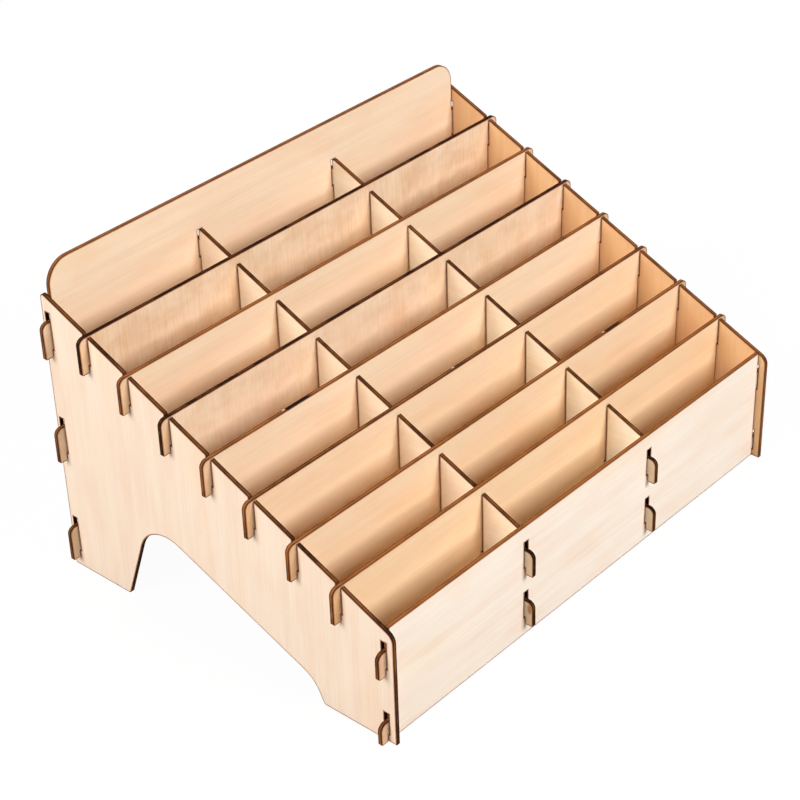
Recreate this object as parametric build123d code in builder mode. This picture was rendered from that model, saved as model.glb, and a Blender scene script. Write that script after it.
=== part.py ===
"""A slanted rack of slotted plywood boards with eight rows and three columns of open compartments.

Frame: +X is the rack's right, +Y its back and +Z up. The origin is at the middle of the box
around the rack, on the surface that it stands on. Lengths are millimetres, angles degrees.
"""
import os
from math import cos, radians, sin, tan

from build123d import *

# Overall shape
WIDTH = 400.0  # over the outer faces of the two side panels
BOARD = 3.0  # thickness of the plywood, the same for every piece
SLOPE = 24.1  # of the rim and the floor board, above the horizontal

# Compartments
ROWS = 8
COLUMNS = 3
ROW_CLEAR = 32.0  # free space between two cross dividers, front to back
COMPARTMENT_DEPTH = 80.0  # from the rim straight down to the floor board
FLOOR_HEIGHT = 7.5  # height of the floor board's upper face at the front panel
DIVIDER_PROUD = 0.6  # cross dividers and front panel stand this far above the rim
LONG_DIVIDER_DROP = 5.5  # long dividers stay this far below the rim
BACK_PANEL_RISE = 23.0  # back panel's top edge above the rim
GROUND_GAP = 0.4  # front and back panel hang this far above the ground

# Side panels
FRONT_MARGIN = 6.0  # from the side panels' front edge to the front panel
BACK_MARGIN = 3.5  # from the back panel to the side panels' rear edge
UNDERSIDE_DROP = 17.0  # from the floor board's upper face down to the underside, over the front foot's heel
UNDERSIDE_EASE = 1.9  # the underside slopes this much less than the rim
FRONT_FOOT = 60.0  # length of the front foot on the ground
BACK_FOOT = 54.5  # length of the rear foot on the ground
FRONT_FOOT_LEAN = 26.0  # lean of the front foot's rear edge from the vertical
BACK_FOOT_LEAN = 20.0  # lean of the rear foot's front edge from the vertical
ARCH_RADIUS = 28.0  # between the rear foot and the underside
INSTEP_RADIUS = 25.0  # between the front foot and the underside
FRONT_CORNER_RADIUS = 8.0
BACK_CORNER_RADIUS = 2.5
TOE_RADIUS = 2.0  # the feet's corners inside the arch

# Hooks: a neck goes through a slot, and a tongue hangs outside over the slot's lower end
TONGUE_REACH = 6.8  # how far a tongue stands out of the face that it holds
TONGUE_DROP = 5.2  # how far a tongue hangs below the seat of its neck
TONGUE_TOP_RADIUS = 5.0
TONGUE_TIP_RADIUS = 1.2
SMALL_TONGUE = 19.0  # height of the tongues of the front panel and the long dividers
LARGE_TONGUE = 26.0  # height of the tongues of the back panel
SHORT_TONGUE = 15.5  # height of the front panel's lower tongues, which end at the ground
NOTCH_DEPTH = 20.5  # from the rim down to the seat of a cross divider
BACK_HOOKS = 3  # on each end of the back panel
BACK_HOOK_DROP = 11.0  # from the rim down to the top of the back panel's upper slot
BACK_HOOK_TIP = 8.0  # height of the back panel's lowest tongue above the ground
FRONT_HOOK_DROP = 9.0  # from the rim down to the top of the front panel's upper slot
LONG_FRONT_DROP = 13.0  # from the rim down to the top of a long divider's upper slot in the front panel
LONG_BACK_DROP = 7.5  # the same in the back panel
LONG_HOOK_SEAT = 7.0  # lower seat of a long divider above the floor board's upper face

# Edges and corners
PANEL_CORNER_RADIUS = 17.0  # upper corners of the back panel
DIVIDER_CORNER_RADIUS = 2.0  # upper rear corner of the long dividers

# Half laps: the long dividers are slotted from above, the cross dividers from below
LAP_SHARE = 0.64  # of the compartments' depth, from the rim down to where the two slots meet

# Floor board: hangs on hooked feet of the long dividers, and the cross dividers' tabs keep it from sliding
FEET = 3  # under each long divider
FOOT_NECK = 10.0
FOOT_TOE = 6.0  # how far a toe reaches back under the floor board
TOE_HEIGHT = 5.0
TAB_WIDTH = 30.0
TAB_REACH = 4.0

# Fits
PLAY = 0.5  # clearance on each side of a board in its slot
END_GAP = 0.3  # clearance between a board's end and the panel that it meets
REST_GAP = 0.2  # clearance under a board that hangs in its slots

# Places along the depth, front to back
RISE = tan(radians(SLOPE))
UNDERSIDE_RISE = tan(radians(SLOPE - UNDERSIDE_EASE))
ROW_PITCH = ROW_CLEAR + BOARD
INSIDE_DEPTH = ROWS * ROW_PITCH - BOARD
FRONT_REACH = max(FRONT_MARGIN, TONGUE_REACH)
BACK_REACH = max(BACK_MARGIN, TONGUE_REACH)
OVERALL_DEPTH = FRONT_REACH + BOARD + INSIDE_DEPTH + BOARD + BACK_REACH
FRONT_FACE = FRONT_REACH - OVERALL_DEPTH / 2
SIDE_FRONT = FRONT_FACE - FRONT_MARGIN
FRONT_INNER = FRONT_FACE + BOARD
BACK_INNER = FRONT_INNER + INSIDE_DEPTH
BACK_FACE = BACK_INNER + BOARD
SIDE_BACK = BACK_FACE + BACK_MARGIN
FRONT_HEEL = SIDE_FRONT + FRONT_FOOT
REAR_TOE = SIDE_BACK - BACK_FOOT

# Places across the width
OUTER_HALF = WIDTH / 2
INNER_HALF = OUTER_HALF - BOARD
COLUMN_PITCH = (2 * INNER_HALF + BOARD) / COLUMNS
SLOT_WIDTH = BOARD + 2 * PLAY

os.makedirs("parts", exist_ok=True)


def floor_top(y):
    """Height of the floor board's upper face."""
    return FLOOR_HEIGHT + (y - FRONT_INNER) * RISE


def rim(y):
    """Height of the side panels' sloping rim."""
    return floor_top(y) + COMPARTMENT_DEPTH


def underside(y):
    """Height of the side panels' sloping lower edge."""
    return floor_top(FRONT_HEEL) - UNDERSIDE_DROP + (y - FRONT_HEEL) * UNDERSIDE_RISE


def below_floor(run, depth):
    """A point (y, z) this far up the floor board from the front panel, and this deep under its face."""
    y = FRONT_INNER + run * cos(radians(SLOPE)) + depth * sin(radians(SLOPE))
    z = FLOOR_HEIGHT + run * sin(radians(SLOPE)) - depth * cos(radians(SLOPE))
    return (y, z)


def cross_face(number):
    """Front face of a cross divider, numbered from the rear."""
    return FRONT_INNER + (ROWS - number) * ROW_PITCH - BOARD


def cross_lap(number):
    """Height at which the slots of a cross divider and of the long dividers meet."""
    return rim(cross_face(number)) - LAP_SHARE * COMPARTMENT_DEPTH


def long_middle(number):
    """Middle of a long divider, numbered from the left."""
    return (number - COLUMNS / 2) * COLUMN_PITCH


def column_middle(column):
    """Middle of a column of compartments, counted from 0 at the left."""
    return (column + 0.5 - COLUMNS / 2) * COLUMN_PITCH


def slot_length(tongue):
    """Length of the closed slot that lets a tongue of this height through."""
    return tongue + 2 * PLAY


def seat(slot_top, tongue):
    """Lower end of a closed slot, where the neck rests."""
    return slot_top - slot_length(tongue)


def hook(tongue, side):
    """One hook, drawn from its seat on the face that it holds. Side is -1 to the left or front, else 1."""
    tip = -TONGUE_DROP
    top = tongue - TONGUE_DROP
    root = -side * (BOARD + END_GAP)
    near = side * PLAY
    far = side * TONGUE_REACH
    with BuildSketch() as shape:
        with BuildLine():
            FilletPolyline(
                (root, 0), (near, 0), (near, tip), (far, tip), (far, top), (root, top),
                radius=[0, 0, TONGUE_TIP_RADIUS, TONGUE_TIP_RADIUS, TONGUE_TOP_RADIUS, 0],
                close=True,
            )
        make_face()
    return shape.sketch


# Each closed slot is the height of its top and the height of the tongue that goes through it
FRONT_SLOTS = [
    (rim(FRONT_FACE) - FRONT_HOOK_DROP, SMALL_TONGUE),
    (GROUND_GAP + TONGUE_DROP + slot_length(SHORT_TONGUE), SHORT_TONGUE),
]
BACK_SLOT_HIGH = rim(BACK_INNER) - BACK_HOOK_DROP
BACK_SLOT_LOW = BACK_HOOK_TIP + TONGUE_DROP + slot_length(LARGE_TONGUE)
BACK_SLOT_STEP = (BACK_SLOT_HIGH - BACK_SLOT_LOW) / (BACK_HOOKS - 1)
BACK_SLOTS = [(BACK_SLOT_HIGH - i * BACK_SLOT_STEP, LARGE_TONGUE) for i in range(BACK_HOOKS)]


def long_slots(y, drop):
    """Closed slots for a long divider in the panel whose inner face is at y. Drop: rim to upper slot."""
    high = rim(y) - drop
    low = floor_top(y) + LONG_HOOK_SEAT + slot_length(SMALL_TONGUE)
    return [(high, SMALL_TONGUE), (low, SMALL_TONGUE)]


def cut_slots(middle, slots):
    """Cuts closed slots, one over the other, into the sketch in hand."""
    for top, tongue in slots:
        with Locations((middle, top - slot_length(tongue) / 2)):
            Rectangle(SLOT_WIDTH, slot_length(tongue), mode=Mode.SUBTRACT)


def keep(piece, name):
    """Names a finished board and writes its file."""
    piece.part.label = name
    export_step(piece.part, f"parts/{name}.step")


# Side panels: a sloping band on two feet, with a slot or a notch for every hook
REAR_LEAN = tan(radians(BACK_FOOT_LEAN))
FRONT_LEAN = tan(radians(FRONT_FOOT_LEAN))
ARCH_TOP = underside(REAR_TOE) / (1 + REAR_LEAN * UNDERSIDE_RISE)
INSTEP = underside(FRONT_HEEL) / (1 - FRONT_LEAN * UNDERSIDE_RISE)

for name, inner_x in (("side_panel_left", -OUTER_HALF), ("side_panel_right", INNER_HALF)):
    with BuildPart() as side_panel:
        with BuildSketch(Plane.YZ.offset(inner_x)):
            with BuildLine():
                FilletPolyline(
                    (SIDE_FRONT, 0),
                    (SIDE_FRONT, rim(SIDE_FRONT)),
                    (SIDE_BACK, rim(SIDE_BACK)),
                    (SIDE_BACK, 0),
                    (REAR_TOE, 0),
                    (REAR_TOE - ARCH_TOP * REAR_LEAN, ARCH_TOP),
                    (FRONT_HEEL + INSTEP * FRONT_LEAN, INSTEP),
                    (FRONT_HEEL, 0),
                    radius=[
                        0, FRONT_CORNER_RADIUS, BACK_CORNER_RADIUS, 0,
                        TOE_RADIUS, ARCH_RADIUS, INSTEP_RADIUS, TOE_RADIUS,
                    ],
                    close=True,
                )
            make_face()
            cut_slots(FRONT_FACE + BOARD / 2, FRONT_SLOTS)
            cut_slots(BACK_INNER + BOARD / 2, BACK_SLOTS)
            for number in range(1, ROWS):
                notch_seat = rim(cross_face(number)) - NOTCH_DEPTH
                with Locations((cross_face(number) + BOARD / 2, notch_seat)):
                    Rectangle(
                        SLOT_WIDTH, 2 * NOTCH_DEPTH, align=(Align.CENTER, Align.MIN), mode=Mode.SUBTRACT
                    )
        extrude(amount=BOARD)
    keep(side_panel, name)


def hang_between_sides(bottom, top, corner_radius, slots):
    """Draws a panel between the side panels, with hooks at both ends, into the sketch in hand."""
    half = INNER_HALF - END_GAP
    with Locations((0, (bottom + top) / 2)):
        Rectangle(2 * half, top - bottom)
    if corner_radius:
        fillet(vertices().group_by(Axis.Y)[-1], corner_radius)
    for side in (-1, 1):
        for slot_top, tongue in slots:
            with Locations((side * OUTER_HALF, seat(slot_top, tongue))):
                add(hook(tongue, side))


# Front panel: closes the lowest row and holds the front ends of the long dividers
with BuildPart() as front_panel:
    with BuildSketch(Plane.XZ.offset(-FRONT_INNER)):
        hang_between_sides(GROUND_GAP, rim(FRONT_FACE) + DIVIDER_PROUD, 0, FRONT_SLOTS)
        for number in range(1, COLUMNS):
            cut_slots(long_middle(number), long_slots(FRONT_INNER, LONG_FRONT_DROP))
    extrude(amount=BOARD)
keep(front_panel, "front_panel")

# Back panel: rises above the rim, with large rounded corners
with BuildPart() as back_panel:
    with BuildSketch(Plane.XZ.offset(-BACK_FACE)):
        hang_between_sides(GROUND_GAP, rim(BACK_INNER) + BACK_PANEL_RISE, PANEL_CORNER_RADIUS, BACK_SLOTS)
        for number in range(1, COLUMNS):
            cut_slots(long_middle(number), long_slots(BACK_INNER, LONG_BACK_DROP))
    extrude(amount=BOARD)
keep(back_panel, "back_panel")

# Cross dividers: drop into the side panels' notches, and over the long dividers
for number in range(1, ROWS):
    face = cross_face(number)
    top = rim(face) + DIVIDER_PROUD
    bottom = floor_top(face + BOARD) + REST_GAP
    with BuildPart() as cross_divider:
        with BuildSketch(Plane.XZ.offset(-(face + BOARD))):
            with Locations((0, (bottom + top) / 2)):
                Rectangle(2 * (INNER_HALF - END_GAP), top - bottom)
            for side in (-1, 1):
                with Locations((side * OUTER_HALF, rim(face) - NOTCH_DEPTH)):
                    add(hook(NOTCH_DEPTH + DIVIDER_PROUD + TONGUE_DROP, side))
            for column in range(COLUMNS):
                with Locations((column_middle(column), bottom)):
                    Rectangle(TAB_WIDTH, TAB_REACH, align=(Align.CENTER, Align.MAX))
            for long_number in range(1, COLUMNS):
                lap_height = cross_lap(number) + REST_GAP - bottom
                with Locations((long_middle(long_number), bottom)):
                    Rectangle(SLOT_WIDTH, lap_height, align=(Align.CENTER, Align.MIN), mode=Mode.SUBTRACT)
        extrude(amount=BOARD)
    keep(cross_divider, f"cross_divider_{number}")

# Long dividers: run up the slope from the front panel to the back panel, with the floor on their feet
FLOOR_RUN = (INSIDE_DEPTH - END_GAP - BOARD * sin(radians(SLOPE))) / cos(radians(SLOPE))
FOOT_RUNS = [FLOOR_RUN * (i + 0.5) / FEET for i in range(FEET)]

for number in range(1, COLUMNS):
    front = FRONT_INNER + END_GAP
    back = BACK_INNER - END_GAP
    with BuildPart() as long_divider:
        with BuildSketch(Plane.YZ.offset(long_middle(number) - BOARD / 2)):
            with BuildLine():
                FilletPolyline(
                    (front, floor_top(front) + REST_GAP),
                    (front, rim(front) - LONG_DIVIDER_DROP),
                    (back, rim(back) - LONG_DIVIDER_DROP),
                    (back, floor_top(back) + REST_GAP),
                    radius=[0, 0, DIVIDER_CORNER_RADIUS, 0],
                    close=True,
                )
            make_face()
            for slot_top, tongue in long_slots(FRONT_INNER, LONG_FRONT_DROP):
                with Locations((FRONT_FACE, seat(slot_top, tongue))):
                    add(hook(tongue, -1))
            for slot_top, tongue in long_slots(BACK_INNER, LONG_BACK_DROP):
                with Locations((BACK_FACE, seat(slot_top, tongue))):
                    add(hook(tongue, 1))
            for run in FOOT_RUNS:
                Polygon(
                    below_floor(run, -BOARD),
                    below_floor(run, BOARD + TOE_HEIGHT),
                    below_floor(run + FOOT_NECK + FOOT_TOE, BOARD + TOE_HEIGHT),
                    below_floor(run + FOOT_NECK + FOOT_TOE, BOARD),
                    below_floor(run + FOOT_NECK, BOARD),
                    below_floor(run + FOOT_NECK, -BOARD),
                    align=None,
                )
            for cross_number in range(1, ROWS):
                with Locations((cross_face(cross_number) + BOARD / 2, cross_lap(cross_number))):
                    Rectangle(
                        SLOT_WIDTH, COMPARTMENT_DEPTH, align=(Align.CENTER, Align.MIN), mode=Mode.SUBTRACT
                    )
        extrude(amount=BOARD)
    keep(long_divider, f"long_divider_{number}")

# Floor board: one sloping board under all the compartments
with BuildPart() as floor_board:
    slope_plane = Plane(
        origin=(0, FRONT_INNER, FLOOR_HEIGHT),
        x_dir=(1, 0, 0),
        z_dir=(0, -sin(radians(SLOPE)), cos(radians(SLOPE))),
    )
    with BuildSketch(slope_plane):
        with Locations((0, END_GAP)):
            Rectangle(2 * (INNER_HALF - END_GAP), FLOOR_RUN - END_GAP, align=(Align.CENTER, Align.MIN))
        for number in range(1, COLUMNS):
            for run in FOOT_RUNS:
                with Locations((long_middle(number), run - FOOT_TOE - PLAY)):
                    Rectangle(
                        SLOT_WIDTH, FOOT_NECK + FOOT_TOE + 2 * PLAY,
                        align=(Align.CENTER, Align.MIN), mode=Mode.SUBTRACT,
                    )
        for number in range(1, ROWS):
            slot_front = (cross_face(number) - FRONT_INNER) / cos(radians(SLOPE)) - BOARD * RISE - PLAY
            slot_back = (cross_face(number) + BOARD - FRONT_INNER) / cos(radians(SLOPE)) + PLAY
            for column in range(COLUMNS):
                with Locations((column_middle(column), slot_front)):
                    Rectangle(
                        TAB_WIDTH + 2 * PLAY, slot_back - slot_front,
                        align=(Align.CENTER, Align.MIN), mode=Mode.SUBTRACT,
                    )
    extrude(amount=-BOARD)
keep(floor_board, "floor_board")
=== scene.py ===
# %% [markdown]
# # A laser-cut paint rack
#
# The real rack is fourteen thin plywood boards that hook and slot into each other. A laser cut them out
# of pale basswood plywood, so their faces are plain unfinished veneer and every cut edge is charred brown.
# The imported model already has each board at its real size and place. What it lacks is everything that
# makes plywood look like plywood: the plies and glue lines in the cut edge, the softened corners, the
# smoke beside each cut and the grain of the veneer. This notebook adds those, board by board.

from math import radians

import bmesh
import bpy
from mathutils import Euler, Matrix, Vector


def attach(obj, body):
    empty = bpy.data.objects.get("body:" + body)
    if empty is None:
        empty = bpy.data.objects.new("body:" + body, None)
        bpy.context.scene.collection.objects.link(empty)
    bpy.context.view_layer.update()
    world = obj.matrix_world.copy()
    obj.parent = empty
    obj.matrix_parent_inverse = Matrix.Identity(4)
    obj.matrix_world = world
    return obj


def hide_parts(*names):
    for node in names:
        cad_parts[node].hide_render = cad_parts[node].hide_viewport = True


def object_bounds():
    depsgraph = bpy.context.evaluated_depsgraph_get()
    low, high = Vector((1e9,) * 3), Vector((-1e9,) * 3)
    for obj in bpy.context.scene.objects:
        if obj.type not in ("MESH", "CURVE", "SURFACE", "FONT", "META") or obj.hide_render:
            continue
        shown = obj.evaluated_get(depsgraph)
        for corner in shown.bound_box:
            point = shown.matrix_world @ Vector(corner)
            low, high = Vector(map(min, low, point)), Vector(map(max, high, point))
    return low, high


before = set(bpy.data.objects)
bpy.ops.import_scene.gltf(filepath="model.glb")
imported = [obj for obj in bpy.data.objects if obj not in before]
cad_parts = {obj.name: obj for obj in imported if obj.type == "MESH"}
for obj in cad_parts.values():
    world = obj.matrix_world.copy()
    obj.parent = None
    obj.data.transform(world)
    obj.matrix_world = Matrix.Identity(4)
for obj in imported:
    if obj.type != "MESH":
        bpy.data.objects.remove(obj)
cad_low, cad_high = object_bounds()
MM = 0.001  # one millimetre in Blender's metres
print("boards:", len(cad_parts), "size in mm:", [round(v / MM, 1) for v in cad_high - cad_low])

# %% [markdown]
# ## Two helpers
#
# Colours are written the way a paint shop would, as hex values that look right on a screen. Blender's
# sockets want linear light, so one function converts them. Node trees, for shapes and for materials, are
# long lists of the same two steps: add a node, then fill in its sockets. One function does both.


# %% Colours and nodes
def colour(hex_value):
    """An sRGB hex colour as the linear RGBA that Blender's sockets take."""
    channels = [int(hex_value[i : i + 2], 16) / 255 for i in (1, 3, 5)]
    linear = [c / 12.92 if c <= 0.04045 else ((c + 0.055) / 1.055) ** 2.4 for c in channels]
    return (*linear, 1.0)


def put(tree, kind, inputs=None, **settings):
    """Adds a node. Each input gets a value, an output socket, or a node whose first output feeds it."""
    node = tree.nodes.new(kind)
    for name, value in settings.items():
        setattr(node, name, value)
    for name, value in (inputs or {}).items():
        if isinstance(value, bpy.types.Node):
            value = next(output for output in value.outputs if output.enabled)
        if isinstance(value, bpy.types.NodeSocket):
            tree.links.new(value, node.inputs[name])
        else:
            node.inputs[name].default_value = value
    return node


# %% [markdown]
# ## What each board is cut from
#
# A sheet of plywood has a grain, and a maker turns each board on the sheet before cutting it. Most boards
# here have the grain along their length. The two side panels and two of the cross dividers have it
# upright, and those two dividers also come from a curlier, pinker sheet and were burnt nearly black.
# Each board gets its own place on the sheet, so no two boards show the same grain, and its own tone,
# because veneer from one log runs from cream to honey. The right side panel's deeper orange tone is
# painted shade, for the lesser light that falls on its inner face.
#
# "Burn" says how far the laser charred the edges of a board. The laser slows down where it turns so
# often, so the hooks have a char of their own, "hook_burn", and their faces a smoky stain, "hook_stain".
# "Hooks" says how far from the board's middle its hooks begin, in millimetres. A board without hooks has
# a number there that lies beyond its ends.


# %% The boards
PLAIN = {
    "tone": "#F9DFC0",
    "upright": False,
    "figure": 0.0,
    "burn": 0.1,
    "hooks": 200.0,
    "hook_burn": 0.35,
    "hook_stain": 0.5,
}
NO_HOOKS = 1000.0
CURLY = {"upright": True, "figure": 1.0, "burn": 0.95, "hook_burn": 0.95, "hook_stain": 0.12}
LONG = {"hooks": 141.5, "hook_burn": 0.9, "hook_stain": 0.4}
BOARDS = {
    "side_panel_left": {"tone": "#FBE5CF", "upright": True, "burn": 0.68, "hooks": NO_HOOKS},
    # painted shade: this panel's deep orange tone darkens it for the little light on its inner face
    "side_panel_right": {"tone": "#EEC595", "upright": True, "burn": 0.4, "hooks": NO_HOOKS},
    "front_panel": {"tone": "#FDEFE0", "burn": 0.0, "hook_burn": 0.5, "hook_stain": 0.7},
    "back_panel": {"tone": "#FCE3C6", "burn": 0.15, "hook_burn": 0.5, "hook_stain": 0.1},
    "cross_divider_1": {**CURLY, "tone": "#F6DDC0"},
    "cross_divider_2": {"hook_burn": 0.45, "hook_stain": 0.42},
    "cross_divider_3": {
        **CURLY, "tone": "#F7DEC3", "figure": 0.8, "burn": 0.92, "hook_burn": 1.0, "hook_stain": 0.44
    },
    "cross_divider_4": {"tone": "#F9E0C2", "burn": 0.16},
    "cross_divider_5": {"tone": "#F8DCBA", "burn": 0.4, "hook_stain": 0.58},
    "cross_divider_6": {"tone": "#F7DBB8", "burn": 0.14, "hook_burn": 0.25, "hook_stain": 0.6},
    "cross_divider_7": {"tone": "#F6D8B2", "burn": 0.1, "hook_stain": 0.66},
    "long_divider_1": {**LONG, "tone": "#FAE8CE", "burn": 0.65},
    "long_divider_2": {**LONG, "tone": "#FDF0D6", "burn": 0.6},
    "floor_board": {"hooks": NO_HOOKS},
}
assert sorted(BOARDS) == sorted(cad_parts)
print("upright grain:", [name for name, board in BOARDS.items() if board.get("upright")])

# %% [markdown]
# ## Scorch marks
#
# Where the laser paused to light up or to turn, the edge is burnt black for a few millimetres. Three of
# the cross dividers show such a mark on their top edge, each with a pale chip at its left end, where the
# holding nub that kept the board in its sheet was snapped off. A mark is written as the place along the
# board where it starts and where it ends, in millimetres, and how black it is. One hook in front has a
# smudge of soot on its face, written as its place along and up the board. Every other board has its
# smudge nowhere near.


# %% The scorch marks
SCORCH = {
    "cross_divider_4": (-132.0, -110.0, 1.0),
    "cross_divider_5": (-8.0, 1.0, 0.5),
    "cross_divider_6": (111.0, 128.0, 0.9),
}
SMUDGE = {"long_divider_1": (-145.8, 23.0)}
NOWHERE = (9999.0, 9999.0)
print("scorched:", sorted(SCORCH), "smudged:", sorted(SMUDGE))

# %% [markdown]
# ## Basswood veneer
#
# The faces are rotary-cut basswood: the log is peeled like an apple, which gives a pale cream sheet with
# soft streaks a few millimetres wide and faint broad bands. Nothing was varnished, so it is matt. The
# pattern lives on each board's own "sheet" coordinates, in metres: x runs with the grain. Noise that is
# squeezed along x turns into fibres. Fibres are about half a millimetre wide, which is finer than
# a pixel here, so the fine streaks are drawn 0.9 to 1.6 mm wide.
#
# The grain is three of these streaks together: fibres in bands in clouds. Flecks are the short dark
# pores. Blushes are the pinker patches of the heartwood. Curls and hairs run across the grain and show
# only in the curly sheet.


# %% Streaks of the veneer
STREAKS = {  # width in mm, length along the grain in mm, detail, roughness
    "fibres": (1.6, 60.0, 2.0, 0.6),
    "bands": (8.0, 240.0, 2.0, 0.5),
    "clouds": (38.0, 170.0, 1.0, 0.5),
    "flecks": (0.9, 7.0, 1.0, 0.5),
    "curls": (24.0, 13.0, 2.0, 0.55),
    "blushes": (22.0, 60.0, 2.0, 0.5),
    "hairs": (0.9, 14.0, 1.0, 0.5),
}
GRAIN_LEVEL = 1.2  # of the grain where all its streaks are at nothing
GRAIN_SHARES = {"fibres": -0.45, "bands": -0.4, "clouds": -0.35}


def streaks_of(tree, sheet):
    """Noise drawn out along the grain, one value between 0 and 1 for each kind of streak, and the grain."""
    streaks = {}
    for name, (width, length, detail, rough) in STREAKS.items():
        squeeze = (1 / (length * MM), 1 / (width * MM), 1 / (width * MM))
        stretched = put(tree, "ShaderNodeMapping", {"Vector": sheet, "Scale": squeeze})
        settings = {"Vector": stretched, "Scale": 1.0, "Detail": detail, "Roughness": rough}
        streaks[name] = put(tree, "ShaderNodeTexNoise", settings).outputs["Fac"]
    grain = GRAIN_LEVEL
    for name, part in GRAIN_SHARES.items():
        terms = {0: streaks[name], 1: part, 2: grain}
        grain = put(tree, "ShaderNodeMath", terms, operation="MULTIPLY_ADD")
    streaks["grain"] = grain
    return streaks


print("kinds of streak:", list(STREAKS))

# %% [markdown]
# Smoke from the cut stains the face. Right at the cut it is dark brown, and a millimetre away it is gone,
# but a hook is so narrow that it is smoked all over. The tree of nodes further down stores the stain at
# the cuts as "smoke", and each point's place on its board as "on_board", whose third number is how far
# out the hooks begin. So the hooks are where a point's distance from the middle is past that number.


# %% Where the smoke is
SMUDGE_MEASURE = (1.0, 0.5, 0.0)  # half of what lies above or below counts, so it is twice as tall as wide
LEAST_SMOKE, MORE_SMOKE = 0.85, 0.15  # at the cuts of an unburnt board, and what a full burn adds


def past_hooks(tree, on_board):
    """How far along the board a point is, and how far past the line where the hooks begin."""
    place = put(tree, "ShaderNodeSeparateXYZ", {0: on_board}).outputs
    away = put(tree, "ShaderNodeMath", {0: place["X"]}, operation="ABSOLUTE")
    return place["X"], put(tree, "ShaderNodeMath", {0: away, 1: place["Z"]}, operation="SUBTRACT")


def from_smudge(tree, on_board, smudge):
    """How far a point is from the smudge."""
    beside = put(tree, "ShaderNodeVectorMath", {0: on_board, 1: smudge}, operation="SUBTRACT")
    oval = put(tree, "ShaderNodeVectorMath", {0: beside, 1: SMUDGE_MEASURE}, operation="MULTIPLY")
    return put(tree, "ShaderNodeVectorMath", {0: oval}, operation="LENGTH").outputs["Value"]


def smoke_at_cuts(tree, smoke, burn):
    """How dark the smoke beside a cut is. A board that was burnt more is smoked more."""
    terms = {0: burn, 1: MORE_SMOKE, 2: LEAST_SMOKE}
    dark = put(tree, "ShaderNodeMath", terms, operation="MULTIPLY_ADD")
    return put(tree, "ShaderNodeMath", {0: smoke, 1: dark}, operation="MULTIPLY")


print("smoke at the cuts, from", LEAST_SMOKE, "to", LEAST_SMOKE + MORE_SMOKE)

# %% [markdown]
# The finish is built up like a stain on wood: over the board's plain tone lies one layer after the other.
# A layer shows nothing below its low bound and all that it is allowed over its high one, and it may be
# held to one kind of board or place. Most of them multiply, as a thin glaze does, so the tone beneath
# shines through. Dry wood scatters light widely, which the roughness and the low specular level give.


# %% Make the veneer
FIBRE_RELIEF = 0.05 * MM


def veneer_material():
    """Matt basswood veneer, with smoke from the laser beside the cuts and on the hooks."""
    material = bpy.data.materials.new("basswood_veneer_unfinished")
    material.use_nodes = True
    tree = material.node_tree
    shader = tree.nodes["Principled BSDF"]
    read = {
        name: put(tree, "ShaderNodeAttribute", attribute_name=name).outputs
        for name in ("sheet", "tone", "figure", "smoke", "burn", "hook_stain", "smudge", "on_board")
    }
    streaks = streaks_of(tree, read["sheet"]["Vector"])
    figure = read["figure"]["Fac"]
    hooked = past_hooks(tree, read["on_board"]["Vector"])[1]
    smudged = from_smudge(tree, read["on_board"]["Vector"], read["smudge"]["Vector"])
    wood = read["tone"]["Color"]
    for value, low, high, most, held_to, layer, how in (  # low and high are the bounds of the value
        (streaks["grain"], 0.48, 0.76, 0.18, 1.0, "#E2BD96", "MULTIPLY"),
        (streaks["flecks"], 0.62, 0.80, 0.10, 1.0, "#DDB48A", "MULTIPLY"),
        (streaks["blushes"], 0.46, 0.70, 0.28, 1.0, "#FBE7DC", "MULTIPLY"),
        (streaks["clouds"], 0.50, 0.75, 0.40, 1.0, "#FFF6E4", "MULTIPLY"),
        (streaks["curls"], 0.38, 0.68, 0.46, figure, "#DFB78C", "MIX"),
        (streaks["hairs"], 0.40, 0.70, 0.22, figure, "#E3C29C", "MULTIPLY"),
        (hooked, -0.5 * MM, 1.5 * MM, 1.0, read["hook_stain"]["Fac"], "#C08D58", "MIX"),
        (smudged, 3.0 * MM, 0.8 * MM, 0.75, 1.0, "#94602C", "MIX"),
    ):
        bounds = {"Value": value, "From Min": low, "From Max": high, "To Min": 0.0, "To Max": most}
        shown = put(tree, "ShaderNodeMapRange", bounds, interpolation_type="SMOOTHSTEP")
        shown = put(tree, "ShaderNodeMath", {0: shown, 1: held_to}, operation="MULTIPLY")
        layers = {"Factor": shown, 6: wood, 7: colour(layer)}
        wood = put(tree, "ShaderNodeMix", layers, data_type="RGBA", blend_type=how)
    smoked = smoke_at_cuts(tree, read["smoke"]["Fac"], read["burn"]["Fac"])
    layers = {"Factor": smoked, 6: wood, 7: colour("#8E4408")}
    wood = put(tree, "ShaderNodeMix", layers, data_type="RGBA")

    relief = {"Height": streaks["fibres"], "Strength": 0.1, "Distance": FIBRE_RELIEF}
    bump = put(tree, "ShaderNodeBump", relief)
    tree.links.new(wood.outputs[2], shader.inputs["Base Color"])
    tree.links.new(bump.outputs[0], shader.inputs["Normal"])
    shader.inputs["Roughness"].default_value = 0.7
    shader.inputs["IOR"].default_value = 1.45
    shader.inputs["Specular IOR Level"].default_value = 0.25
    return material


veneer = veneer_material()
print("veneer nodes:", len(veneer.node_tree.nodes))
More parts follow.
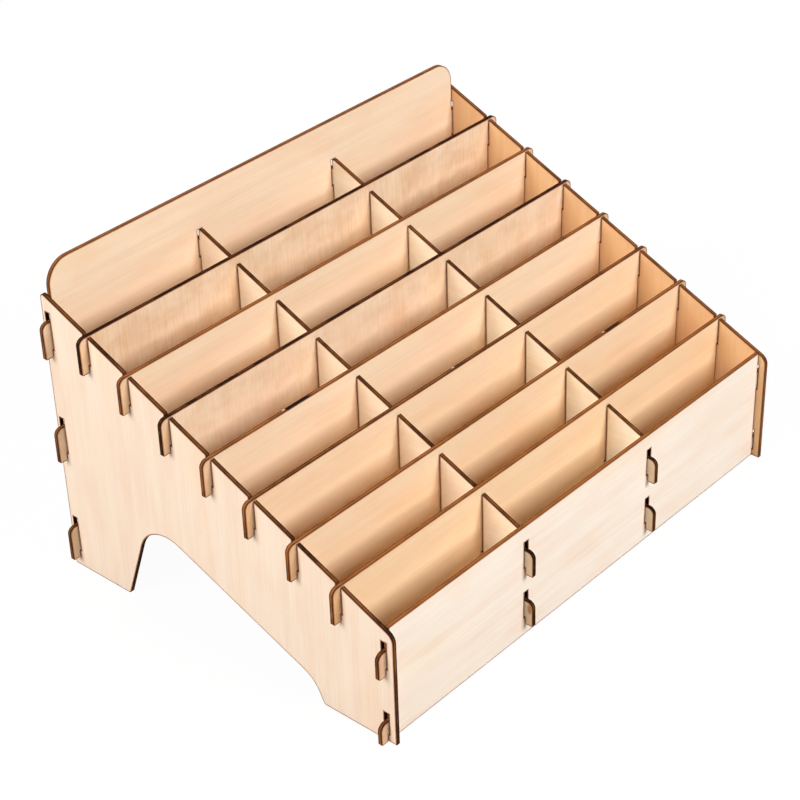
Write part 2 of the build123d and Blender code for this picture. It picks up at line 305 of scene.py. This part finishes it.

# %% [markdown]
# ## The charred edge
#
# A laser burns its way through, so the cut edge is charcoal over brown wood. The two face plies and the
# glue lines burn darker than the core between them. The tree below gives each point of a board the value
# "across", from -1 at one face to 1 at the other, and the char follows it. The burn is never even: it
# comes and goes in patches of some 22 mm, where the laser went faster or slower, with finer specks of
# soot between them. The walls of a closed slot are drawn fully black, which is stored as "slot": partly
# char, and partly painted shade for the narrow dark gap beside each tongue. Charcoal is porous, so it
# hardly shines.


# %% Plies and char
PLIES = (  # place from the middle of the edge, 0, to a face, 1, and its colour
    (0.42, "#9A5C2C"),
    (0.54, "#4A2410"),
    (0.66, "#6A3A1A"),
    (0.86, "#4E2812"),
)
CORE, FACE = "#A8683A", "#2E1407"
PATCHES = ((22.0, 0.22), (2.5, 0.06))  # size in mm, and how much more or less char
LEAN = 0.08  # how much more char there is at one face, and less at the other


def plies_of(tree, across):
    """The colours of the three plies and the two glue lines."""
    depth = put(tree, "ShaderNodeMath", {0: across}, operation="ABSOLUTE")
    edge = put(tree, "ShaderNodeValToRGB", {"Fac": depth})
    edge.color_ramp.elements[0].color = colour(CORE)
    edge.color_ramp.elements[1].color = colour(FACE)
    for position, shade in PLIES:
        edge.color_ramp.elements.new(position).color = colour(shade)
    return edge


def char_of(tree, across, burn, sheet, slot):
    """How charred the edge is: the burn of the board, a little more at one face, and patchy. Closed slot
    walls are fully black, char and painted shade of the gap beside each tongue.
    """
    char = put(tree, "ShaderNodeMath", {0: across, 1: LEAN, 2: burn}, operation="MULTIPLY_ADD")
    for size, swing in PATCHES:
        settings = {"Vector": sheet, "Scale": 1 / (size * MM), "Detail": 3.0}
        patches = put(tree, "ShaderNodeTexNoise", settings).outputs["Fac"]
        bounds = {"Value": patches, "From Min": 0.35, "From Max": 0.65, "To Min": -swing, "To Max": swing}
        uneven = put(tree, "ShaderNodeMapRange", bounds, interpolation_type="SMOOTHSTEP")
        char = put(tree, "ShaderNodeMath", {0: char, 1: uneven}, operation="ADD", use_clamp=True)
    # closed slot walls go fully black: char, and painted shade for the gap beside each tongue
    return put(tree, "ShaderNodeMath", {0: char, 1: slot}, operation="MAXIMUM")


print("colours from core to face:", len(PLIES) + 2, "patches in mm:", [size for size, _ in PATCHES])

# %% [markdown]
# Four finishes lie over the plies, one after the other: the even brown of a light burn, the char, the
# black of a scorch mark and the pale chip at its left end. Where each of them shows is a product of
# steps with soft ends, such as "past the start of the mark" times "before its end".


# %% Make the charred edge
def edge_material():
    """Laser-charred edge of three-ply board."""
    material = bpy.data.materials.new("plywood_edge_laser_charred")
    material.use_nodes = True
    tree = material.node_tree
    shader = tree.nodes["Principled BSDF"]
    read = {
        name: put(tree, "ShaderNodeAttribute", attribute_name=name).outputs
        for name in ("sheet", "across", "burn", "hook_burn", "slot", "on_board", "scorch")
    }
    across = read["across"]["Fac"]
    along, beyond = past_hooks(tree, read["on_board"]["Vector"])
    bounds = {"Value": beyond, "From Min": -1.0 * MM, "From Max": 1.0 * MM}
    hooked = put(tree, "ShaderNodeMapRange", bounds, interpolation_type="SMOOTHSTEP")
    burns = {"Factor": hooked, 2: read["burn"]["Fac"], 3: read["hook_burn"]["Fac"]}
    burn = put(tree, "ShaderNodeMix", burns, data_type="FLOAT").outputs[0]
    char = char_of(tree, across, burn, read["sheet"]["Vector"], read["slot"]["Fac"])

    mark = put(tree, "ShaderNodeSeparateXYZ", {0: read["scorch"]["Vector"]}).outputs
    started = put(tree, "ShaderNodeMath", {0: along, 1: mark["X"]}, operation="SUBTRACT")
    to_go = put(tree, "ShaderNodeMath", {0: mark["Y"], 1: along}, operation="SUBTRACT")
    marked = put(tree, "ShaderNodeMath", {0: mark["Z"], 1: 0.01}, operation="GREATER_THAN")

    # A step: a value, the two bounds between which it passes, and the result below and above them
    lightly_burnt = [(burn, 0.0, 0.35, 0.5, 0.0)]
    in_mark = [(started, -0.5 * MM, 1.5 * MM, 0.0, 1.0), (to_go, -4.0 * MM, 3.0 * MM, 0.0, 1.0)]
    on_chip = [
        (started, -2.2 * MM, -1.4 * MM, 0.0, 1.0),
        (started, -0.2 * MM, 0.6 * MM, 1.0, 0.0),
        (across, -0.55, -0.25, 1.0, 0.0),
    ]
    edge = plies_of(tree, across)
    for layer, strength, steps in (
        ("#985A2A", 1.0, lightly_burnt),
        ("#1E0C04", char, []),
        ("#120603", mark["Z"], in_mark),
        ("#FBE6CC", marked, on_chip),
    ):
        for value, low, high, least, most in steps:
            bounds = {"Value": value, "From Min": low, "From Max": high, "To Min": least, "To Max": most}
            step = put(tree, "ShaderNodeMapRange", bounds, interpolation_type="SMOOTHSTEP")
            strength = put(tree, "ShaderNodeMath", {0: step, 1: strength}, operation="MULTIPLY")
        edge = put(tree, "ShaderNodeMix", {"Factor": strength, 6: edge, 7: colour(layer)}, data_type="RGBA")

    tree.links.new(edge.outputs[2], shader.inputs["Base Color"])
    shader.inputs["Roughness"].default_value = 0.85
    shader.inputs["IOR"].default_value = 1.45
    shader.inputs["Specular IOR Level"].default_value = 0.1
    return material


charred = edge_material()
print("edge nodes:", len(charred.node_tree.nodes))

# %% [markdown]
# ## A tree of nodes that grows a board
#
# A board's section never changes: however its outline turns, the edge has the same plies, the same glue
# lines and the same softened corners. That is a rule, so Geometry Nodes draw it. The tree starts from the
# flat outline and extrudes it ring by ring, from just inside one face, over the edge, to just inside
# the other face, and then fills both faces. Every size is an input with a name. What the materials need
# to know is stored on the points.

# %% Inputs of the board tree
LENGTHS = ("Thickness", "Face Ply", "Glue Line", "Arris", "Smoke Reach", "Hooks")
STORED = (  # attribute, input, kind of value
    ("tone", "Tone", "FLOAT_COLOR"),
    ("scorch", "Scorch", "FLOAT_VECTOR"),
    ("smudge", "Smudge", "FLOAT_VECTOR"),
    ("figure", "Figure", "FLOAT"),
    ("burn", "Burn", "FLOAT"),
    ("hook_burn", "Hook Burn", "FLOAT"),
    ("hook_stain", "Hook Stain", "FLOAT"),
)
SOCKET_OF = {"FLOAT_COLOR": "NodeSocketColor", "FLOAT_VECTOR": "NodeSocketVector", "FLOAT": "NodeSocketFloat"}


def add_inputs(tree):
    """Gives the board tree its named inputs, and returns their sockets inside the tree."""
    face = tree.interface
    face.new_socket("Outline", in_out="INPUT", socket_type="NodeSocketGeometry")
    for name in LENGTHS:
        face.new_socket(name, in_out="INPUT", socket_type="NodeSocketFloat").subtype = "DISTANCE"
    face.new_socket("Grain Turn", in_out="INPUT", socket_type="NodeSocketFloat").subtype = "ANGLE"
    face.new_socket("Sheet Place", in_out="INPUT", socket_type="NodeSocketVector")
    for _, name, kind in STORED:
        face.new_socket(name, in_out="INPUT", socket_type=SOCKET_OF[kind])
    for name in ("Veneer", "Cut Edge"):
        face.new_socket(name, in_out="INPUT", socket_type="NodeSocketMaterial")
    face.new_socket("Board", in_out="OUTPUT", socket_type="NodeSocketGeometry")
    return put(tree, "NodeGroupInput").outputs


print("inputs:", len(LENGTHS) + len(STORED) + 5)

# %% [markdown]
# The section is a list of rings. Each has an inset from the outline, a height over the middle of the
# board, and the smoke that it carries. It is symmetric, so only its upper half is written down. The glue
# line gets a shallow groove, because the laser eats the glue faster than the wood.


# %% The section of a board
def section_of(tree, given):
    """The rings of the board's section, from just inside its lower face to just inside its upper face."""
    half = put(tree, "ShaderNodeMath", {0: given["Thickness"], 1: 2.0}, operation="DIVIDE")
    glue = put(tree, "ShaderNodeMath", {0: half, 1: given["Face Ply"]}, operation="SUBTRACT")
    arris = put(tree, "ShaderNodeMath", {0: half, 1: given["Arris"]}, operation="SUBTRACT")
    over_glue = put(tree, "ShaderNodeMath", {0: glue, 1: given["Glue Line"]}, operation="ADD")
    under_glue = put(tree, "ShaderNodeMath", {0: glue, 1: given["Glue Line"]}, operation="SUBTRACT")
    midway = put(tree, "ShaderNodeMath", {0: given["Smoke Reach"], 1: 2.0}, operation="DIVIDE")
    upper = [
        (0.0, under_glue, 1.0),
        (given["Glue Line"], glue, 1.0),
        (0.0, over_glue, 1.0),
        (0.0, arris, 1.0),
        (given["Arris"], half, 1.0),
        (midway, half, 0.9),
        (given["Smoke Reach"], half, 0.0),
    ]
    lower = [
        (inset, put(tree, "ShaderNodeMath", {0: height, 1: -1.0}, operation="MULTIPLY"), smoke)
        for inset, height, smoke in reversed(upper)
    ]
    return lower + upper, half


# %% [markdown]
# The outline itself becomes the first ring. Each later one is extruded from the ring before it, without
# any offset, and then moved to its own inset and height, so the skin grows like a sleeve. Both faces are
# filled from the loops of the first ring, so the points of each lid meet those of its ring and are welded.


# %% Grow the rim and fill the faces
WELD = 0.002 * MM


def grow_shell(tree, outline, section, half):
    """Extrudes the outline ring by ring along the section, and closes both faces."""
    corner = put(tree, "GeometryNodeInputNamedAttribute", {"Name": "corner"}, data_type="FLOAT_VECTOR")
    outward = put(tree, "GeometryNodeInputNamedAttribute", {"Name": "outward"}, data_type="FLOAT_VECTOR")

    def place_ring(shape, which, inset, height, smoke):
        """Moves one ring of the section to its inset and height, and stores how smoked it is."""
        step = put(tree, "ShaderNodeMath", {0: inset, 1: -1.0}, operation="MULTIPLY")
        inwards = put(tree, "ShaderNodeVectorMath", {0: outward, "Scale": step}, operation="SCALE")
        level = put(tree, "ShaderNodeCombineXYZ", {"Z": height})
        spot = put(tree, "ShaderNodeVectorMath", {0: inwards, 1: level}, operation="ADD")
        spot = put(tree, "ShaderNodeVectorMath", {0: spot, 1: corner}, operation="ADD")
        moved = put(
            tree, "GeometryNodeSetPosition", {"Geometry": shape, "Selection": which, "Position": spot}
        )
        return put(
            tree,
            "GeometryNodeStoreNamedAttribute",
            {"Geometry": moved, "Selection": which, "Name": "smoke", "Value": smoke},
            data_type="FLOAT",
            domain="POINT",
        )

    first = skin = place_ring(outline, True, *section[0])
    newest = True
    for ring in section[1:]:
        rim = {"Mesh": skin, "Selection": newest, "Offset Scale": 0.0}
        grown = put(tree, "GeometryNodeExtrudeMesh", rim, mode="EDGES")
        newest = grown.outputs["Top"]
        skin = place_ring(grown.outputs["Mesh"], newest, *ring)

    loops = put(tree, "GeometryNodeMeshToCurve", {"Mesh": first})
    sheet = put(tree, "GeometryNodeFillCurve", {"Curve": loops}, mode="TRIANGLES")
    joined = put(tree, "GeometryNodeJoinGeometry", {0: skin})
    for side in (1.0, -1.0):
        level = put(tree, "ShaderNodeMath", {0: half, 1: side}, operation="MULTIPLY")
        lift = put(tree, "ShaderNodeCombineXYZ", {"Z": level})
        lid = put(tree, "GeometryNodeTransform", {"Geometry": sheet, "Translation": lift})
        tree.links.new(lid.outputs[0], joined.inputs[0])
    return put(tree, "GeometryNodeMergeByDistance", {"Geometry": joined, "Distance": WELD})


print("points closer than", WELD / MM, "mm are welded")

# %% [markdown]
# The tree ends with what the materials read. Each point learns its place on the sheet and on the board,
# and how far across the edge it lies. Faces that look along z are veneer, and all others are cut edge.


# %% The board tree
VENEER_NORMAL = 0.95  # least part of a normal that points along z where the face is veneer


def board_tree():
    """Builds the tree that turns an outline in the XY plane into a three-ply board about z = 0."""
    tree = bpy.data.node_groups.new("laser_cut_board", "GeometryNodeTree")
    given = add_inputs(tree)
    section, half = section_of(tree, given)
    print("rings of the section:", len(section))
    board = grow_shell(tree, given["Outline"], section, half)

    position = put(tree, "GeometryNodeInputPosition")
    turn = {"Vector": position, "Angle": given["Grain Turn"]}
    turned = put(tree, "ShaderNodeVectorRotate", turn, rotation_type="Z_AXIS")
    on_sheet = put(tree, "ShaderNodeVectorMath", {0: turned, 1: given["Sheet Place"]}, operation="ADD")
    place = put(tree, "ShaderNodeSeparateXYZ", {0: position}).outputs
    on_board = put(tree, "ShaderNodeCombineXYZ", {0: place["X"], 1: place["Y"], 2: given["Hooks"]})
    across = put(tree, "ShaderNodeMath", {0: place["Z"], 1: half}, operation="DIVIDE")
    for name, value, kind in (
        ("sheet", on_sheet, "FLOAT_VECTOR"),
        ("on_board", on_board, "FLOAT_VECTOR"),
        ("across", across, "FLOAT"),
        *((name, given[source], kind) for name, source, kind in STORED),
    ):
        store = {"Geometry": board, "Name": name, "Value": value}
        board = put(tree, "GeometryNodeStoreNamedAttribute", store, data_type=kind, domain="POINT")
    for name in ("corner", "outward"):
        board = put(tree, "GeometryNodeRemoveAttribute", {"Geometry": board, "Name": name})

    looks = put(tree, "ShaderNodeSeparateXYZ", {0: put(tree, "GeometryNodeInputNormal")}).outputs["Z"]
    level = put(tree, "ShaderNodeMath", {0: looks}, operation="ABSOLUTE")
    on_edge = put(tree, "ShaderNodeMath", {0: level, 1: VENEER_NORMAL}, operation="LESS_THAN")
    board = put(tree, "GeometryNodeRealizeInstances", {"Geometry": board})
    board = put(tree, "GeometryNodeSetMaterial", {"Geometry": board, "Material": given["Veneer"]})
    board = put(
        tree,
        "GeometryNodeSetMaterial",
        {"Geometry": board, "Selection": on_edge, "Material": given["Cut Edge"]},
    )
    put(tree, "NodeGroupOutput", {"Board": board})
    return tree


tree = board_tree()
SOCKETS = {item.name: item.identifier for item in tree.interface.items_tree if item.in_out == "INPUT"}
print("board tree nodes:", len(tree.nodes))

# %% [markdown]
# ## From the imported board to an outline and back
#
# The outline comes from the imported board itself, so every slot and hook stays where it is. A copy of its
# mesh is merged, laid flat, and only the rim of one large face is kept. The rim comes out as loops: one
# goes round the board, and each of the others goes round a closed slot.


# %% Lay a board flat
MERGE = 0.001 * MM
TOP_NORMAL = 0.99  # least part of a normal that points up where the face belongs to the top


def lie_of(mesh):
    """The matrix that lifts a flat board, drawn about z = 0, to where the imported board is."""
    looks = max(mesh.polygons, key=lambda face: face.area).normal.copy()
    if looks.x - looks.y + looks.z < 0:
        looks.negate()
    along = Vector((0, 0, 1)).cross(looks).normalized()
    up = looks.cross(along)
    depths = [looks.dot(vertex.co) for vertex in mesh.vertices]
    middle = looks * (min(depths) + max(depths)) / 2
    turn = Matrix((along, up, looks)).transposed().to_4x4()
    return Matrix.Translation(middle) @ turn, max(depths) - min(depths)


def loops_of(mesh, lie):
    """The rim of a flat board as closed loops of corners."""
    shape = bmesh.new()
    shape.from_mesh(mesh)
    bmesh.ops.remove_doubles(shape, verts=shape.verts, dist=MERGE)
    shape.transform(lie.inverted())
    shape.normal_update()
    shape.verts.index_update()
    top = [face for face in shape.faces if face.normal.z > TOP_NORMAL]
    inside = set(top)
    following = {
        loop.vert.index: loop.link_loop_next.vert.index
        for face in top
        for loop in face.loops
        if not set(loop.edge.link_faces) <= inside
    }
    places = [vertex.co.xy.copy() for vertex in shape.verts]
    shape.free()
    loops = []
    while following:
        first, index = following.popitem()
        loop = [places[first]]
        while index != first:
            loop.append(places[index])
            index = following.pop(index)
        loops.append(loop)
    return loops


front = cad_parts["front_panel"].data
lie, thickness = lie_of(front)
print("front panel in mm:", round(thickness / MM, 2), "closed slots:", len(loops_of(front, lie)) - 1)

# %% [markdown]
# Each corner of the rim also keeps the direction that points out of the wood, long enough that a step
# along it moves both edges by one. A loop that runs clockwise goes round a closed slot.


# %% Draw the outline
def outline_of(mesh, lie):
    """The loops as a mesh of edges, whose points know their corner, their way out and their slot."""
    corners, outwards, slots, edges = [], [], [], []
    for loop in loops_of(mesh, lie):
        steps = [(after - before).normalized() for before, after in zip(loop, loop[1:] + loop[:1])]
        sides = [Vector((step.y, -step.x)) for step in steps]
        doubled_area = sum(a.x * b.y - b.x * a.y for a, b in zip(loop, loop[1:] + loop[:1]))
        start = len(corners)
        for i, place in enumerate(loop):
            corners.append(place)
            outwards.append((sides[i - 1] + sides[i]) / (1 + sides[i - 1].dot(sides[i])))
            slots.append(1.0 if doubled_area < 0 else 0.0)
            edges.append((start + i, start + (i + 1) % len(loop)))
    outline = bpy.data.meshes.new("outline")
    outline.from_pydata([(*corner, 0) for corner in corners], edges, [])
    for name, values in (("corner", corners), ("outward", outwards)):
        attribute = outline.attributes.new(name, "FLOAT_VECTOR", "POINT")
        attribute.data.foreach_set("vector", [part for value in values for part in (*value, 0)])
    outline.attributes.new("slot", "FLOAT", "POINT").data.foreach_set("value", slots)
    return outline


trial = outline_of(front, lie)
print("corners of the front panel:", len(trial.vertices))
bpy.data.meshes.remove(trial)

# %% [markdown]
# ## Grow every board
#
# For each packed board, the outline becomes an object with the tree as its modifier, and the evaluated
# result is kept as a plain mesh. Its normals are made to point out of the wood, its corners over
# 30 degrees stay crisp, and it is lifted to its place in the rack. The smoke reaches 1.1 mm. The tips of
# the tongues are rounded to 1.2 mm, and the ring where the smoke ends has to fit inside that corner.


# %% Build the boards
FACE_PLY = 0.62 * MM
GLUE_LINE = 0.07 * MM
ARRIS = 0.13 * MM
SMOKE_REACH = 1.1 * MM
CRISP_CORNER = radians(30)
SHEET_STEP = (0.37, 0.23, 0.11)  # metres on the sheet from one board to the next


def plywood_board(name, number):
    """Makes the detailed board that stands for one packed board."""
    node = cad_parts[name]
    board = {**PLAIN, **BOARDS[name]}
    start, end, blackness = SCORCH.get(name, (0.0, 0.0, 0.0))
    smudge_x, smudge_y = SMUDGE.get(name, NOWHERE)
    lie, thickness = lie_of(node.data)
    blank = bpy.data.objects.new(name + "_blank", outline_of(node.data, lie))
    bpy.context.scene.collection.objects.link(blank)
    modifier = blank.modifiers.new("laser cut", "NODES")
    modifier.node_group = tree
    sizes = {
        "Thickness": thickness,
        "Face Ply": FACE_PLY,
        "Glue Line": GLUE_LINE,
        "Arris": ARRIS,
        "Smoke Reach": SMOKE_REACH,
        "Hooks": board["hooks"] * MM,
        "Grain Turn": radians(90) if board["upright"] else 0.0,
        "Sheet Place": [step * number for step in SHEET_STEP],
        "Tone": colour(board["tone"]),
        "Scorch": (start * MM, end * MM, blackness),
        "Smudge": (smudge_x * MM, smudge_y * MM, 0.0),
        "Figure": board["figure"],
        "Burn": board["burn"],
        "Hook Burn": board["hook_burn"],
        "Hook Stain": board["hook_stain"],
        "Veneer": veneer,
        "Cut Edge": charred,
    }
    for socket, value in sizes.items():
        modifier[SOCKETS[socket]] = value
    bpy.context.view_layer.update()
    graph = bpy.context.evaluated_depsgraph_get()
    mesh = bpy.data.meshes.new_from_object(blank.evaluated_get(graph))
    blank.modifiers.clear()
    bpy.data.objects.remove(blank)

    shape = bmesh.new()
    shape.from_mesh(mesh)
    bmesh.ops.recalc_face_normals(shape, faces=shape.faces)
    open_edges = sum(not edge.is_manifold for edge in shape.edges)
    shape.to_mesh(mesh)
    shape.free()
    mesh.transform(lie)
    mesh.polygons.foreach_set("use_smooth", [True] * len(mesh.polygons))
    mesh.set_sharp_from_angle(angle=CRISP_CORNER)
    piece = bpy.data.objects.new("plywood_" + name, mesh)
    bpy.context.scene.collection.objects.link(piece)
    print(name, "faces:", len(mesh.polygons), "open edges:", open_edges)
    return piece


for number, name in enumerate(BOARDS):
    piece = plywood_board(name, number)
    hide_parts(name)
    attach(piece, "root")

# %% [markdown]
# ## Floor, light and camera
#
# The photograph is a product shot on white, so the floor is white paper that still catches a soft
# shadow. Paper lit like that would come out grey, so it glows, but only for what the camera sees: a glow
# that reached the rack would light it from below.


# %% Floor
FLOOR_HALF = 4.0  # metres
PAPER_GLOW = 1.07
GLOW_PART = 0.9  # the rest is plain paper, which shows the shadow


def looked_at(tree):
    """1 for what the camera sees, straight, in a reflection or through glass, and 0 for light on the rack."""
    path = put(tree, "ShaderNodeLightPath").outputs
    ways = {0: path["Is Camera Ray"], 1: path["Is Glossy Ray"]}
    ways = {0: put(tree, "ShaderNodeMath", ways, operation="MAXIMUM"), 1: path["Is Transmission Ray"]}
    return put(tree, "ShaderNodeMath", ways, operation="MAXIMUM")


def paper_material():
    """White paper that looks white to the camera and keeps a soft shadow."""
    material = bpy.data.materials.new("white_paper_sweep")
    material.use_nodes = True
    tree = material.node_tree
    shader = tree.nodes["Principled BSDF"]
    shader.inputs["Base Color"].default_value = colour("#A0A09E")
    shader.inputs["Roughness"].default_value = 0.9
    glow = put(tree, "ShaderNodeEmission", {"Color": (1, 1, 1, 1), "Strength": PAPER_GLOW})
    part = put(tree, "ShaderNodeMath", {0: looked_at(tree), 1: GLOW_PART}, operation="MULTIPLY")
    mixed = put(tree, "ShaderNodeMixShader", {0: part, 1: shader, 2: glow})
    tree.links.new(mixed.outputs[0], tree.nodes["Material Output"].inputs["Surface"])
    return material


floor_mesh = bpy.data.meshes.new("paper_floor")
floor_mesh.from_pydata(
    [(x * FLOOR_HALF, y * FLOOR_HALF, 0) for x, y in ((-1, -1), (1, -1), (1, 1), (-1, 1))],
    [],
    [(0, 1, 2, 3)],
)
floor_mesh.materials.append(paper_material())
floor = bpy.data.objects.new("paper_floor", floor_mesh)
bpy.context.scene.collection.objects.link(floor)
print("floor in metres:", 2 * FLOOR_HALF, "square")

# %% [markdown]
# The cross dividers keep their brightness some 27 mm deep and then fall off quickly, so most of the
# light comes from one large softbox in front, about 35 degrees high, and hardly any from all round. The
# left faces are as bright as the front, so a second softbox stands on the left. A weaker one behind
# lights the backs of the dividers, and what they throw on the faces behind them is amber, which is why
# the depths of the compartments look warm instead of grey.


# %% Light
LIGHT_ALL_ROUND = 0.06
LAMPS = (  # name, place and size in metres, watts
    ("left_softbox", (-2.6, 0.4, 1.7), 1.8, 85.5),
    ("front_softbox", (0.4, -2.5, 1.75), 1.2, 80.5),
    ("rear_fill", (0.8, 1.9, 2.3), 1.6, 26.0),
)
world = bpy.data.worlds.new("white_studio")
bpy.context.scene.world = world
world.use_nodes = True
background = world.node_tree.nodes["Background"]
background.inputs["Color"].default_value = colour("#FFFFFF")
background.inputs["Strength"].default_value = LIGHT_ALL_ROUND
backdrop = put(world.node_tree, "ShaderNodeBackground", {"Color": (1, 1, 1, 1), "Strength": 1.0})
ways = {0: looked_at(world.node_tree), 1: background, 2: backdrop}
both = put(world.node_tree, "ShaderNodeMixShader", ways)
world.node_tree.links.new(both.outputs[0], world.node_tree.nodes["World Output"].inputs["Surface"])


def soft_lamp(name, place, aim, size, watts):
    """A square area lamp at one point, turned towards another."""
    data = bpy.data.lights.new(name, "AREA")
    data.size = size
    data.energy = watts
    lamp = bpy.data.objects.new(name, data)
    lamp.location = place
    lamp.rotation_euler = (Vector(aim) - Vector(place)).to_track_quat("-Z", "Y").to_euler()
    bpy.context.scene.collection.objects.link(lamp)
    return lamp


middle = (cad_low + cad_high) / 2
for name, place, size, watts in LAMPS:
    soft_lamp(name, place, middle, size, watts)
print("lamps:", [name for name, *_ in LAMPS])

# %% [markdown]
# The camera stands where the photograph was taken: in front of the rack's left corner and above it. Its
# place, its turn and its lens come from a pinhole camera fitted to points of the photograph.


# %% Camera
CAMERA_PLACE = Vector((-920.0, -814.6, 887.4)) * MM
CAMERA_TURN = (57.02, 1.64, -48.78)  # degrees
CAMERA_LENS = 96.46  # millimetres
camera_data = bpy.data.cameras.new("camera")
camera_data.lens = CAMERA_LENS
camera = bpy.data.objects.new("camera", camera_data)
camera.location = CAMERA_PLACE
camera.rotation_euler = Euler([radians(angle) for angle in CAMERA_TURN])
bpy.context.scene.collection.objects.link(camera)
bpy.context.scene.camera = camera
bpy.context.scene.view_settings.view_transform = "Standard"
print("camera to the middle of the rack in mm:", round((CAMERA_PLACE - middle).length / MM))
